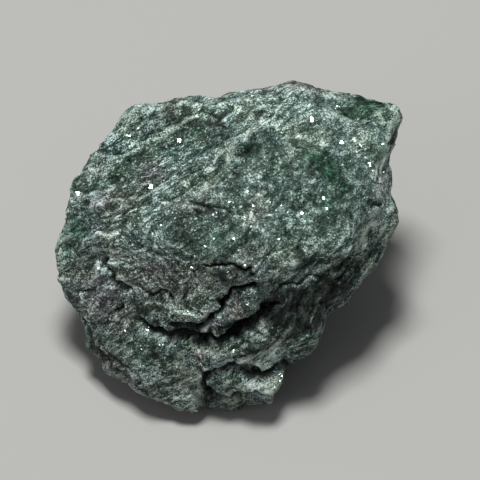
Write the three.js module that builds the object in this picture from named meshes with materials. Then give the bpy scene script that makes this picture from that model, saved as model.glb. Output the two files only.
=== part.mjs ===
// A rough chunk of fuchsite, the green mica schist: one natural stone, free-standing, in one solid.
// It is a bulging slab on top, a stepped flank up and to the left, a flatter face on the left,
// a block with two cracks over it below, and a dark hollow flank on the right.
//
// Millimetres. +Z is up, +X is the longest way across, the origin is under the middle of the box.
// The stone is described in a leaning frame, as one looks down on it: x is right, y is up across
// the stone, z is towards the eye. Every point is a ray from the centre and a reach along it.
import * as THREE from "three";

// Leaning frame and resting
const LEAN_DEG = 55; // how far the line of sight dips below the horizon
const REST_DEPTH = 19.6; // from the centre down to the flat spot it rests on
const REST_FACE_DEPTH = 20.5; // the rough underside around the flat spot
const FLAT_SPOT_SLOPE = 0.05; // rays that drop less than this never meet the ground

// Outline across the line of sight, anticlockwise: right, top, left, bottom
const OUTLINE = [
  [26.6, 9.5], [27, 14.5], [27.8, 16.5], [28.5, 17.5], [30.8, 21], [31.8, 24.5], [27.5, 26.5],
  [24.5, 26.5], [18.5, 27], [15.5, 29], [11, 29], [9, 28], [6, 26.5], [-2, 26], [-7.5, 25.5],
  [-14, 25.5], [-16.5, 25], [-19, 22.5], [-21.5, 17], [-25.5, 12], [-28, 7], [-28, 3],
  [-29.5, -1.5], [-30, -3.5], [-28, -7], [-26, -10], [-24.5, -15], [-24.5, -17.3], [-21.6, -21],
  [-17, -22.5], [-12.5, -26], [-6, -28], [-5, -27], [1, -27], [4, -27.5], [7.8, -27.3], [8, -24.5],
  [9, -22], [10, -19.5], [13.5, -17], [16, -13.5], [16.5, -11], [18, -9.5], [24, -5.5], [26.6, -3],
  [28, 1], [28.8, 5],
];

// Faces towards the eye: slope to the right, slope upwards, height, and where that height is
const SEEN_FACES = [
  { name: "slab", right: -0.1, up: -0.2, height: 17, at: [4, 6] },
  { name: "stepped flank", right: 0.36, up: -0.3, height: 17, at: [-6, 8] },
  { name: "left face", right: 0.62, up: 0.4, height: 14.6, at: [-9, -3] },
  { name: "lower block", right: 0.05, up: 0.78, height: 12.6, at: [-4, -12] },
  { name: "right flank", right: -1.3, up: 0.8, height: 16, at: [21.5, 3] },
  { name: "dark flank", right: -0.45, up: 0.75, height: 16.2, at: [12.5, -4] },
  { name: "top bevel", right: -0.15, up: -1.1, height: 12.5, at: [8, 22] },
  { name: "right bevel", right: -1.8, up: -0.1, height: 9, at: [27.5, 14] },
];

// Faces away from the eye, round the rim: direction, reach, height of the rim, and backward slope
const REAR_FACES = [
  { turn: 2, reach: 30.2, rim: 1, slope: 20 },
  { turn: 40, reach: 41, rim: 4, slope: 32 },
  { turn: 68, reach: 33.6, rim: 3, slope: 30 },
  { turn: 112, reach: 28.6, rim: 3, slope: 28 },
  { turn: 146, reach: 28, rim: 2, slope: 30 },
  { turn: 184, reach: 30.2, rim: 1, slope: 24 },
  { turn: 222, reach: 30.6, rim: -1, slope: 30 },
  { turn: 258, reach: 29.2, rim: -3, slope: 10 },
  { turn: 308, reach: 26.4, rim: -2, slope: 36 },
  { turn: 334, reach: 26.8, rim: 0, slope: 30 },
];

// Broad faces behind and below, as upright directions and reaches
const BACK_FACES = [
  { facing: [0, 0, -1], reach: REST_FACE_DEPTH },
  { facing: [0.15, 0.62, -0.77], reach: 23 },
  { facing: [-0.5, 0.5, -0.7], reach: 23.5 },
];
const EDGE_SHARPNESS = 26; // a larger power gives sharper edges where the faces meet

// Cracks, ledges and ribs on the seen side. The depth goes in (a rib goes out), it fades over
// the given width to the left and to the right of the line's direction, and over its two ends.
const LINES = {
  upperCrack: {
    path: [
      [-10, -12.3], [-7, -13], [-3.6, -13.2], [-2.6, -11.7], [-1.2, -9.7], [0.6, -7.7], [2, -6.5],
      [5.3, -5.5],
    ],
    depth: 2.9, left: 0.4, right: 0.6, fade: 1.5,
  },
  lowerCrack: {
    path: [
      [-14.8, -11.8], [-12, -12.9], [-9.5, -14.2], [-7, -15.1], [-4, -15.7], [-1, -15.3],
      [1.5, -14.2], [3.5, -13.2], [5.5, -11.8], [7, -10.6], [8.5, -9.7],
    ],
    depth: 3.3, left: 0.5, right: 1, fade: 2,
  },
  leftCrack: {
    path: [[-21.2, -0.5], [-21, -3.2], [-19.8, -5], [-18.2, -6.6], [-17, -7.2]],
    depth: 2.4, left: 0.35, right: 0.45, fade: 1.6,
  },
  secondCrack: {
    path: [[-14.5, -7], [-11.5, -7.5], [-10, -8.1], [-8.5, -8.8]],
    depth: 1.7, left: 0.3, right: 0.45, fade: 1,
  },
  shortCrack: {
    path: [[-26.3, -6.8], [-24.8, -7], [-23.3, -7]],
    depth: 1.3, left: 0.3, right: 0.4, fade: 0.8,
  },
  sideNotch: {
    path: [[-19.8, -9.7], [-18.7, -10.2], [-17.6, -10.9]],
    depth: 1.7, left: 0.3, right: 0.45, fade: 0.7,
  },
  middleCrack: {
    path: [[-4.3, -3], [-2, -2.7], [0, -2.9], [1.6, -2.8], [3.5, -3.6], [5.5, -4.3]],
    depth: 1.6, left: 0.3, right: 0.45, fade: 1.5,
  },
  topCrack: {
    path: [[-6.5, 8.3], [-4.5, 7.8], [-3, 7.3], [-1, 7], [1.2, 6.3]],
    depth: 1.4, left: 0.35, right: 0.6, fade: 1.5,
  },
  rimCrack: {
    path: [[23.5, 8], [24.5, 8], [26, 7.5]],
    depth: 0.9, left: 0.3, right: 0.4, fade: 0.8,
  },
  knobNotch: {
    path: [[29.5, 21], [29, 19.5], [28, 18]],
    depth: 1.4, left: 0.3, right: 0.5, fade: 0.8,
  },
  footLedge: {
    path: [
      [-4.2, -23.6], [-4.3, -22], [-2.9, -21.1], [0, -20.4], [3, -20.4], [6, -20.8], [8.2, -20.3],
      [10.2, -19.4],
    ],
    depth: 2.9, left: 0.45, right: 0.9, fade: 1.2,
  },
  toeLedge: {
    path: [[-4, -24], [-2, -25], [1, -25.5], [4.5, -25], [7.5, -24.5]],
    depth: 1.6, left: 0.5, right: 3, fade: 1.5,
  },
  footNotch: {
    path: [[-3.5, -27.5], [-4, -25.5], [-4.5, -23.5], [-4, -21.5]],
    depth: 1.5, left: 0.5, right: 0.5, fade: 1.5,
  },
  slabEdge: {
    path: [
      [25, 8.5], [24.5, 6], [23.5, 3], [20.5, -1], [18, -2], [13.5, -3], [10.5, -4.5],
      [7.5, -6.5],
    ],
    depth: 1.8, left: 6, right: 1.5, fade: 4,
  },
  flankGroove: {
    path: [[24.5, 5], [22.5, 1], [20, -2.5], [17, -4.5], [12, -6], [7.5, -8]],
    depth: 0.9, left: 0.6, right: 0.5, fade: 3,
  },
  flankRib: {
    path: [
      [24.5, 6], [23, 0], [21, -2.5], [18.5, -5.5], [15.5, -8.5], [15, -10.5], [13, -14.5],
      [11.5, -16],
    ],
    depth: -0.8, left: 0.4, right: 0.35, fade: 2,
  },
  outerFlankGroove: {
    path: [[26, 3], [24, -0.5], [21.5, -3.5], [18, -7], [16.5, -9.5]],
    depth: 0.8, left: 0.6, right: 0.4, fade: 2,
  },
  innerFlankRib: {
    path: [[16, -5.5], [12.5, -6.5], [10, -8], [8.5, -9], [7, -11.5]],
    depth: -0.3, left: 0.5, right: 0.35, fade: 2,
  },
  upperRim: {
    path: [
      [-27, 6], [-24.5, 10], [-22.5, 13], [-20, 16], [-15, 18.5], [-9.5, 21], [-5, 23.5], [0, 25],
    ],
    depth: 0.9, left: 4, right: 0.5, fade: 3,
  },
  rimRib: {
    path: [[-23, 12.5], [-20, 15.5], [-15, 18], [-10, 20.5], [-3, 24]],
    depth: -0.8, left: 0.35, right: 0.9, fade: 3,
  },
  rimGroove: {
    path: [[-22, 16.5], [-19.5, 17.5], [-17, 19], [-12, 21], [-7, 24]],
    depth: 0.8, left: 0.5, right: 0.3, fade: 2,
  },
  lowerStep: {
    path: [[-26.5, -1], [-24, 1.5], [-21, 4], [-19, 6], [-15, 7.5], [-9.5, 9], [-1, 12.5]],
    depth: 0.9, left: 2.5, right: 0.4, fade: 3,
  },
  upperStep: {
    path: [[-26.5, 5], [-22.5, 7], [-18.5, 9.5], [-13.5, 12], [-9, 14.5], [-0.5, 18.5]],
    depth: 0.7, left: 2, right: 0.4, fade: 3,
  },
  crownRidge: {
    path: [[-4.5, 12.2], [-2.5, 13.5], [-0.5, 15], [1.8, 16.5], [3.6, 18], [5.2, 19.6], [7.5, 21]],
    depth: 1.3, left: 0.4, right: 5, fade: 2.5,
  },
  crownRib: {
    path: [[-5, 12.8], [-3, 14], [-1, 15.6], [1.2, 17.2], [3, 18.8], [4.6, 20.3], [7, 21.6]],
    depth: -0.7, left: 0.8, right: 0.35, fade: 2,
  },
  crownValley: {
    path: [[-8, 15.5], [-4, 17.5], [-1, 20.5], [3, 22.5]],
    depth: 0.9, left: 1.2, right: 1.2, fade: 3,
  },
  crownStep: {
    path: [[7, 20.5], [10, 19.5], [13, 18.5], [15, 17.5], [17.5, 17]],
    depth: 0.8, left: 0.3, right: 3, fade: 2,
  },
  leftFoot: {
    path: [
      [-27.5, -8], [-26, -10.5], [-24, -14.5], [-22.5, -17.5], [-18, -21.3], [-13, -25.5],
      [-8.5, -27.5],
    ],
    depth: 1.4, left: 0.35, right: 3, fade: 2.5,
  },
  leftFootGroove: {
    path: [[-22.3, -15], [-19.5, -18.5], [-17, -20.3], [-13.5, -23.5]],
    depth: 0.8, left: 0.3, right: 0.4, fade: 2,
  },
  knobFold: {
    path: [[17.5, 25], [20.5, 23.5], [25, 21.5], [28, 20]],
    depth: 0.6, left: 0.6, right: 1.5, fade: 2,
  },
};
const LINE_LEAD = 0.3; // share of the fade that lies beyond the two ends of a line

// Hollows on the seen side: middle, depth, half length, half width and turn
const HOLLOWS = [
  { at: [2.3, -14], depth: 2.2, long: 2.6, wide: 1, turn: 30 },
  { at: [-4, -15.7], depth: 1.1, long: 3, wide: 0.8, turn: 0 },
  { at: [12, -8.5], depth: 0.7, long: 5, wide: 3, turn: 40 },
  { at: [5.8, -13.8], depth: -1.7, long: 2.2, wide: 1.1, turn: 55 },
  { at: [5, -22.3], depth: -1.8, long: 4.5, wide: 1.7, turn: 5 },
  { at: [-1.5, 22], depth: 0.8, long: 1.4, wide: 0.8, turn: 20 },
  { at: [12, 7], depth: 0.5, long: 2.5, wide: 1, turn: -25 },
  { at: [-2, -17.5], depth: -0.6, long: 2.5, wide: 1.5, turn: 0 },
  { at: [12, 0.5], depth: 0.7, long: 1.2, wide: 0.6, turn: 25 },
  { at: [28.5, 22], depth: -0.9, long: 3, wide: 2.2, turn: 70 },
];

// The mica lies in sheets, folded like an upturned boat whose keel runs up to the right
const KEEL = [0.86, 0.51]; // direction of the keel: to the right and up
const KEEL_STRETCH = 0.35; // along the keel all unevenness is drawn out by the inverse of this
const FOLD_CENTRE_DEPTH = 10; // the fold's axis lies this far behind the centre
const FOLD_LENGTHWISE = 0.5; // the sheets bend this much less along the keel
const BROAD_LUMPS = 0.35; // usual height of the lumps 17 mm apart
const SMALL_LUMPS = 0.3; // usual height of the lumps 8 mm apart
const FOLD_WANDER = 0.8; // the sheets wander off the plain fold by this much
const SHEET_WANDER = 0.3; // and by this much over shorter distances
const REAR_WANDER = 2; // on the hidden side the ledges wander more
const LINE_WANDER = 0.25; // cracks and ledges wander off their drawn paths by this much
const DRAWN_FROM = -3; // height towards the eye where cracks and ledges begin to show
const DRAWN_FULL = 1; // height from which they have their full depth
const REAR_FROM = 2; // height below which the rear's coarser ledges begin
const REAR_FULL = -6; // height below which they have their full size
const SEEN_STEP = { period: 3.6, height: 0.6, rise: 0.15 };
const REAR_STEP = { period: 8.3, height: 0.9, rise: 0.12 };
const CALM_SLAB = { at: [9, 8], long: 17, wide: 13, least: 0.15 }; // steps are faint on the slab

// Mesh
const START_CELLS = 14; // cells along each side of the six-sided start grid
const STRAY_LIMIT = 0.3; // a chord may leave the surface by this much
const SHORTEST_SPLIT = 1.15; // an edge shorter than this is never split
const ROUNDS = 7;

const { abs, cos, exp, floor, hypot, max, min, PI, sin, sqrt, tan } = Math;
const radians = THREE.MathUtils.degToRad;
const lean = radians(LEAN_DEG);
const RIGHT = new THREE.Vector3(1, 0, 0);
const ACROSS = new THREE.Vector3(0, sin(lean), cos(lean));
const NEAR = new THREE.Vector3(0, -cos(lean), sin(lean));

// From the upright frame to the leaning one.
function leaning(v) {
  return new THREE.Vector3(v.dot(RIGHT), v.dot(ACROSS), v.dot(NEAR));
}

// From the leaning frame back to the upright one.
function upright(v) {
  return new THREE.Vector3()
    .addScaledVector(RIGHT, v.x)
    .addScaledVector(ACROSS, v.y)
    .addScaledVector(NEAR, v.z);
}

// Rises from 0 to 1 with level ends.
function ease(x) {
  const t = min(max(x, 0), 1);
  return t * t * (3 - 2 * t);
}

// Straight lines between points [x, y] that are sorted by x, level beyond the ends.
function between(points, x) {
  const last = points.length - 1;
  if (x <= points[0][0]) return points[0][1];
  if (x >= points[last][0]) return points[last][1];
  let i = 1;
  while (points[i][0] < x) i += 1;
  const [x0, y0] = points[i - 1];
  const [x1, y1] = points[i];
  return y0 + ((y1 - y0) * (x - x0)) / (x1 - x0);
}

// Natural unevenness: sixteen plane waves of about one length, running every way through space.
const WAVES = 16;
const GOLDEN_TURN = 2.39996;
function unevenness(length, seed) {
  const waves = [];
  for (let i = 0; i < WAVES; i += 1) {
    const height = 1 - (2 * (i + 0.5)) / WAVES;
    const turn = GOLDEN_TURN * i + seed;
    const round = sqrt(1 - height * height);
    const part = (i * 0.618 + seed * 0.37) % 1;
    const rate = ((2 * PI) / length) * (0.7 + 0.6 * part);
    const way = new THREE.Vector3(round * cos(turn), round * sin(turn), height);
    waves.push({ way: way.multiplyScalar(rate), phase: 1.7 * seed * i + i * i });
  }
  return (p) => waves.reduce((sum, w) => sum + sin(w.way.dot(p) + w.phase), 0) / sqrt(WAVES / 2);
}
const broadLumps = unevenness(17, 1.3);
const smallLumps = unevenness(8, 2.3);
const foldWander = unevenness(12, 3.1);
const sheetWander = unevenness(4.6, 5.2);
const rearWander = unevenness(20, 6.6);
const lineWander = [unevenness(3.1, 7.7), unevenness(3.3, 9.1)];

// All flat faces as outward directions in the leaning frame with their distance from the centre.
function flatFaces() {
  const seen = SEEN_FACES.map(({ right, up, height, at }) => {
    const facing = new THREE.Vector3(-right, -up, 1);
    const reach = (height - right * at[0] - up * at[1]) / facing.length();
    return { facing: facing.normalize(), reach };
  });
  const rear = REAR_FACES.map(({ turn, reach, rim, slope }) => {
    const a = radians(turn);
    const b = radians(slope);
    const facing = new THREE.Vector3(cos(a) * cos(b), sin(a) * cos(b), -sin(b));
    return { facing, reach: reach * cos(b) - rim * sin(b) };
  });
  const back = BACK_FACES.map(({ facing, reach }) => {
    return { facing: leaning(new THREE.Vector3(...facing).normalize()), reach };
  });
  return [...seen, ...rear, ...back];
}
const FACES = flatFaces();

// Reach of the outline in each direction across the line of sight, sorted by angle.
function outlineByAngle() {
  const polar = OUTLINE.map(([x, y]) => [Math.atan2(y, x), hypot(x, y)]).sort((a, b) => a[0] - b[0]);
  const first = polar[0];
  const last = polar[polar.length - 1];
  return [[last[0] - 2 * PI, last[1]], ...polar, [first[0] + 2 * PI, first[1]]];
}
const ROUND_OUTLINE = outlineByAngle();

// Reach of the bare block: faces and outline, blended so that their edges are a little worn.
function blockReach(ray) {
  let sum = 0;
  for (const { facing, reach } of FACES) sum += max(facing.dot(ray) / reach, 0) ** EDGE_SHARPNESS;
  const outline = between(ROUND_OUTLINE, Math.atan2(ray.y, ray.x));
  sum += (hypot(ray.x, ray.y) / outline) ** EDGE_SHARPNESS;
  return sum ** (-1 / EDGE_SHARPNESS);
}

// A point turned so that x runs along the keel of the fold, y across it and z near.
function alongKeel(p) {
  const [c, s] = KEEL;
  return new THREE.Vector3(c * p.x + s * p.y, -s * p.x + c * p.y, p.z);
}

// How many millimetres of mica sheets lie between the fold's axis and a point.
function sheetDepth(p) {
  const k = alongKeel(p);
  const drawnOut = new THREE.Vector3(k.x * KEEL_STRETCH, k.y, k.z);
  const shell = hypot(k.z + FOLD_CENTRE_DEPTH, k.y, k.x * FOLD_LENGTHWISE);
  return shell + FOLD_WANDER * foldWander(drawnOut) + SHEET_WANDER * sheetWander(drawnOut);
}

// Broken edges of the sheets: a slow climb and a short drop in each period, from -0.5 to 0.5.
function steps(depth, { period, rise }) {
  const part = depth / period - floor(depth / period);
  return (part < 1 - rise ? part / (1 - rise) : (1 - part) / rise) - 0.5;
}

// The share of the steps that is left on the slab, where the surface follows the sheets.
function calm(p) {
  const { at, long, wide, least } = CALM_SLAB;
  const off = ((p.x - at[0]) / long) ** 2 + ((p.y - at[1]) / wide) ** 2;
  return least + (1 - least) * min(off, 1);
}

// A line as a graph over the chord between its two ends.
function overChord({ path }) {
  const [x0, y0] = path[0];
  const [x1, y1] = path[path.length - 1];
  const length = hypot(x1 - x0, y1 - y0);
  const c = (x1 - x0) / length;
  const s = (y1 - y0) / length;
  const graph = path.map(([x, y]) => [
    (x - x0) * c + (y - y0) * s,
    -(x - x0) * s + (y - y0) * c,
  ]);
  const slopes = graph.slice(1).map(([x, y], i) => {
    const [a, b] = graph[i];
    return [(x + a) / 2, (y - b) / (x - a)];
  });
  return { x0, y0, c, s, length, graph, slopes };
}
const DRAWN_LINES = Object.values(LINES).map((line) => ({ ...line, ...overChord(line) }));

// Depth of one crack, ledge or rib at a place on the seen side.
function lineDepth(line, x, y) {
  const along = (x - line.x0) * line.c + (y - line.y0) * line.s;
  const across = -(x - line.x0) * line.s + (y - line.y0) * line.c;
  const slope = between(line.slopes, along);
  const off = (across - between(line.graph, along)) / sqrt(1 + slope * slope);
  const width = off > 0 ? line.left : line.right;
  const lead = LINE_LEAD * line.fade;
  const ends = ease((along + lead) / line.fade) * ease((line.length + lead - along) / line.fade);
  return line.depth * exp(-abs(off) / width) * ends;
}

// Depth of one hollow at a place on the seen side.
function hollowDepth({ at, depth, long, wide, turn }, x, y) {
  const a = radians(turn);
  const lengthwise = (x - at[0]) * cos(a) + (y - at[1]) * sin(a);
  const sideways = (y - at[1]) * cos(a) - (x - at[0]) * sin(a);
  return depth * exp(-((lengthwise / long) ** 2) - (sideways / wide) ** 2);
}

// All cracks, ledges, ribs and hollows together. They fade out behind the rim.
function drawnDepth(p) {
  const x = p.x + LINE_WANDER * lineWander[0](p);
  const y = p.y + LINE_WANDER * lineWander[1](p);
  let depth = 0;
  for (const line of DRAWN_LINES) depth += lineDepth(line, x, y);
  for (const hollow of HOLLOWS) depth += hollowDepth(hollow, x, y);
  return depth * ease((p.z - DRAWN_FROM) / (DRAWN_FULL - DRAWN_FROM));
}

// Reach of the finished stone along a ray from the centre, in the leaning frame.
function stoneReach(ray) {
  const block = blockReach(ray);
  const p = ray.clone().multiplyScalar(block);
  const sheets = sheetDepth(p);
  const rear = 1 - ease((p.z - REAR_FULL) / (REAR_FROM - REAR_FULL));
  const lumps = BROAD_LUMPS * broadLumps(p) + SMALL_LUMPS * smallLumps(p);
  const seenSteps = SEEN_STEP.height * calm(p) * steps(sheets, SEEN_STEP);
  const rearDepth = sheets + REAR_WANDER * rearWander(p);
  const rearSteps = REAR_STEP.height * rear * steps(rearDepth, REAR_STEP);
  const rough = block + lumps + seenSteps + rearSteps - drawnDepth(p);
  const drop = -upright(ray).z;
  return drop > FLAT_SPOT_SLOPE ? min(rough, REST_DEPTH / drop) : rough;
}

// The point of the surface on a ray, in the leaning frame.
function onStone(towards) {
  const ray = towards.clone().normalize();
  return ray.clone().multiplyScalar(stoneReach(ray));
}

// Six-sided start grid: each side of a cube carries a grid of rays at equal angles.
function startGrid() {
  const points = [];
  const triangles = [];
  const known = new Map();
  const pointAt = (v) => {
    const key = v.toArray().map((c) => c.toFixed(6)).join(" ");
    if (!known.has(key)) {
      known.set(key, points.length);
      points.push(onStone(v));
    }
    return known.get(key);
  };
  const step = (i) => tan((PI / 4) * ((2 * i) / START_CELLS - 1));
  for (let side = 0; side < 6; side += 1) {
    const axis = side % 3;
    const way = side < 3 ? 1 : -1;
    const corner = (i, j) => {
      const v = new THREE.Vector3();
      v.setComponent(axis, way);
      v.setComponent((axis + 1) % 3, step(i) * way);
      v.setComponent((axis + 2) % 3, step(j));
      return pointAt(v);
    };
    for (let i = 0; i < START_CELLS; i += 1) {
      for (let j = 0; j < START_CELLS; j += 1) {
        const [a, b, c, d] = [corner(i, j), corner(i + 1, j), corner(i + 1, j + 1), corner(i, j + 1)];
        triangles.push([a, b, c], [a, c, d]);
      }
    }
  }
  return { points, triangles };
}

const edgeName = (a, b) => (a < b ? `${a} ${b}` : `${b} ${a}`);

// The farthest that the surface strays from the chord between two points.
function stray(p, q) {
  const off = [0.25, 0.5, 0.75].map((share) => {
    const chord = p.clone().lerp(q, share);
    return abs(onStone(chord).length() - chord.length());
  });
  return max(...off);
}

// One round of refining: edges that stray are split, and so is the longest edge of every
// triangle with a split edge, which keeps the triangles well shaped and the mesh closed.
function refine({ points, triangles }, strays) {
  const length = (a, b) => points[a].distanceTo(points[b]);
  const longestFirst = ([a, b, c]) => {
    const [ab, bc, ca] = [length(a, b), length(b, c), length(c, a)];
    if (ab >= bc && ab >= ca) return [a, b, c];
    return bc >= ca ? [b, c, a] : [c, a, b];
  };
  const turned = triangles.map(longestFirst);
  const marked = new Set();
  for (const [a, b, c] of turned) {
    for (const [p, q] of [[a, b], [b, c], [c, a]]) {
      const name = edgeName(p, q);
      if (!strays.has(name)) strays.set(name, stray(points[p], points[q]));
      if (strays.get(name) > STRAY_LIMIT && length(p, q) > SHORTEST_SPLIT) marked.add(name);
    }
  }
  let before = -1;
  while (marked.size !== before) {
    before = marked.size;
    for (const [a, b, c] of turned) {
      if (marked.has(edgeName(b, c)) || marked.has(edgeName(c, a))) marked.add(edgeName(a, b));
    }
  }
  const middles = new Map();
  const middle = (a, b) => {
    const name = edgeName(a, b);
    if (!middles.has(name)) {
      middles.set(name, points.length);
      points.push(onStone(points[a].clone().add(points[b])));
    }
    return middles.get(name);
  };
  const split = [];
  for (const [a, b, c] of turned) {
    if (!marked.has(edgeName(a, b))) {
      split.push([a, b, c]);
      continue;
    }
    const m = middle(a, b);
    if (marked.has(edgeName(b, c))) {
      const n = middle(b, c);
      split.push([m, b, n], [m, n, c]);
    } else split.push([m, b, c]);
    if (marked.has(edgeName(c, a))) {
      const n = middle(c, a);
      split.push([a, m, n], [m, c, n]);
    } else split.push([a, m, c]);
  }
  return { points, triangles: split };
}

// The stone as one closed mesh, stood on its flat spot with the origin under its middle.
function stoneGeometry() {
  let mesh = startGrid();
  const strays = new Map();
  for (let round = 0; round < ROUNDS; round += 1) mesh = refine(mesh, strays);
  const positions = mesh.points.flatMap((p) => upright(p).toArray());
  const geometry = new THREE.BufferGeometry();
  geometry.setAttribute("position", new THREE.Float32BufferAttribute(positions, 3));
  geometry.setIndex(mesh.triangles.flat());
  geometry.computeBoundingBox();
  const box = geometry.boundingBox;
  const middle = box.getCenter(new THREE.Vector3());
  geometry.translate(-middle.x, -middle.y, -box.min.z);
  geometry.computeVertexNormals();
  return geometry;
}

const schist = new THREE.MeshStandardMaterial({
  name: "fuchsite_schist",
  color: 0x4c6057,
  roughness: 0.7,
  metalness: 0,
});
const stone = new THREE.Mesh(stoneGeometry(), schist);
stone.name = "fuchsite_stone";

const group = new THREE.Group();
group.name = "fuchsite";
group.add(stone);

export default group;
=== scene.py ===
# %% [markdown]
# A rough piece of fuchsite
# Fuchsite is a mica coloured green by a trace of chromium, and this stone is a lump of mica schist:
# thin sheets of it, folded together, with grains of other minerals in between. Nothing on the stone
# is flat for more than a few millimetres, and it glitters wherever a flake faces the lamp.
# The plain solid of the stone comes in as a fixed frame, and its box says how large the stone may be.

# %% Load the frame
import bpy
import numpy as np
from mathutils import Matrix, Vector


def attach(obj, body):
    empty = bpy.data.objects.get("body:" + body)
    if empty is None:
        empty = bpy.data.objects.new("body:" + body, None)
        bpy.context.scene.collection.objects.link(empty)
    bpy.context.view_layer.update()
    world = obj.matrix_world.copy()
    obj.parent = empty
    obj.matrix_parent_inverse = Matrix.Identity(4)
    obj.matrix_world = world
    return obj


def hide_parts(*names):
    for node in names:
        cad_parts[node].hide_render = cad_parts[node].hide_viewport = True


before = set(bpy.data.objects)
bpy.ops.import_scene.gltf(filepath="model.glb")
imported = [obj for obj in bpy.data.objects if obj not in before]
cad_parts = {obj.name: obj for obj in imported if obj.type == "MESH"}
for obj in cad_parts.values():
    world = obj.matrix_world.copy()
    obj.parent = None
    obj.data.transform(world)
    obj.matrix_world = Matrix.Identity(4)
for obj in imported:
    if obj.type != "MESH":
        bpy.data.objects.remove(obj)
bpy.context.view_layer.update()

MM = 0.001

# %% [markdown]
# A leaning frame
# All that the stone shows is easiest to describe as one sees it: x to the right, y up across the
# stone, z towards the eye. The eye looks down by 55 degrees, so this frame leans against the upright
# one. Three unit vectors, kept as the rows of one matrix, turn points from one frame to the other.

# %% The leaning frame
LEAN = np.radians(55)
TO_LEANING = np.array([[1, 0, 0], [0, np.sin(LEAN), np.cos(LEAN)], [0, -np.cos(LEAN), np.sin(LEAN)]])
REST_DEPTH = 19.6  # mm from the stone's centre down to the spot it rests on
BOX_MIDDLE = np.array([0.196, 2.611, -REST_DEPTH])  # mm, from the centre to the origin


def upright(points):
    """Leaning points in mm, to upright points in mm: each is the sum of the three axes."""
    return points @ TO_LEANING


def to_row(points):
    """Leaning points in mm, to the model's own frame in metres."""
    return (upright(points) - BOX_MIDDLE) * MM


print("towards the eye:", np.round(upright(np.array([0, 0, 1.0])), 3))

# %% [markdown]
# The bare block
# A broken stone is a block cut by rough planes. Each plane is a direction and a distance, and a ray
# from the middle leaves the block at the nearest one. A plain minimum gives knife edges, so the
# distances are blended with a high power, which wears the edges a little. The outline seen by the
# eye is one more limit: an upright wall along the line of sight, given by its corners.

# %% Outline and faces
OUTLINE = np.array(
    [
        (26.6, 9.5), (27, 14.5), (27.8, 16.5), (28.5, 17.5), (30.8, 21), (31.8, 24.5),
        (27.5, 26.5), (24.5, 26.5), (18.5, 27), (15.5, 29), (11, 29), (9, 28), (6, 26.5), (-2, 26),
        (-7.5, 25.5), (-14, 25.5), (-16.5, 25), (-19, 22.5), (-21.5, 17), (-25.5, 12), (-28, 7),
        (-28, 3), (-29.5, -1.5), (-30, -3.5), (-28, -7), (-26, -10), (-24.5, -15), (-24.5, -17.3),
        (-21.6, -21), (-17, -22.5), (-12.5, -26), (-6, -28), (-5, -27), (1, -27), (4, -27.5),
        (7.8, -27.3), (8, -24.5), (9, -22), (10, -19.5), (13.5, -17), (16, -13.5), (16.5, -11),
        (18, -9.5), (24, -5.5), (26.6, -3), (28, 1), (28.8, 5),
    ]
)
SEEN_FACES = [  # slope to the right, slope upwards, height, and where that height is
    (-0.10, -0.20, 17.0, (4, 6)),  # slab
    (0.36, -0.30, 17.0, (-6, 8)),  # stepped flank
    (0.62, 0.40, 14.6, (-9, -3)),  # left face
    (0.05, 0.78, 12.6, (-4, -12)),  # lower block
    (-1.30, 0.80, 16.0, (21.5, 3)),  # right flank
    (-0.45, 0.75, 16.2, (12.5, -4)),  # dark flank
    (-0.15, -1.10, 12.5, (8, 22)),  # top bevel
    (-1.80, -0.10, 9.0, (27.5, 14)),  # right bevel
]
REAR_FACES = [  # direction, reach, height of the rim, backward slope
    (2, 30.2, 1, 20), (40, 41.0, 4, 32), (68, 33.6, 3, 30), (112, 28.6, 3, 28),
    (146, 28.0, 2, 30), (184, 30.2, 1, 24), (222, 30.6, -1, 30), (258, 29.2, -3, 10),
    (308, 26.4, -2, 36), (334, 26.8, 0, 30),
]
BACK_FACES = [((0, 0, -1), 20.5), ((0.15, 0.62, -0.77), 23), ((-0.5, 0.5, -0.7), 23.5)]
EDGE_SHARPNESS = 26


def flat_faces():
    """Outward unit directions and distances of all planes, in the leaning frame."""
    faces = []
    for right, up, height, (x, y) in SEEN_FACES:
        size = np.sqrt(right**2 + up**2 + 1)
        faces.append((np.array([-right, -up, 1]) / size, (height - right * x - up * y) / size))
    for turn, reach, rim, slope in REAR_FACES:
        a, b = np.radians([turn, slope])
        way = np.array([np.cos(a) * np.cos(b), np.sin(a) * np.cos(b), -np.sin(b)])
        faces.append((way, reach * np.cos(b) - rim * np.sin(b)))
    for way, reach in BACK_FACES:
        faces.append((TO_LEANING @ (np.array(way) / np.linalg.norm(way)), reach))
    return faces


# %% Reach of the bare block
def outline_reach(angle):
    """Distance from the middle to the outline at each angle, straight between its corners."""
    turn = np.arctan2(OUTLINE[:, 1], OUTLINE[:, 0])
    order = np.argsort(turn)
    far = np.hypot(OUTLINE[:, 0], OUTLINE[:, 1])[order]
    return np.interp(angle, turn[order], far, period=2 * np.pi)


def block_reach(rays):
    """The power blend: one over the k-th root of the sum of (cosine / distance) to the k."""
    total = np.zeros(len(rays))
    for way, reach in flat_faces():
        total += np.maximum(rays @ way / reach, 0) ** EDGE_SHARPNESS
    outline = outline_reach(np.arctan2(rays[:, 1], rays[:, 0]))
    total += (np.hypot(rays[:, 0], rays[:, 1]) / outline) ** EDGE_SHARPNESS
    return total ** (-1 / EDGE_SHARPNESS)


print("planes:", len(flat_faces()), "and outline corners:", len(OUTLINE))

# %% [markdown]
# Natural unevenness
# Noise that is the same on every run, and the same in the plain solid, comes from adding sixteen
# plane waves. They have about one length, run every way through space, and each has its own start.
# The sum never repeats within the stone, and a longer wave length gives broader lumps.

# %% Plane waves
WAVES = 16
GOLDEN_TURN = 2.39996  # radians between the ways of two waves


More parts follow.
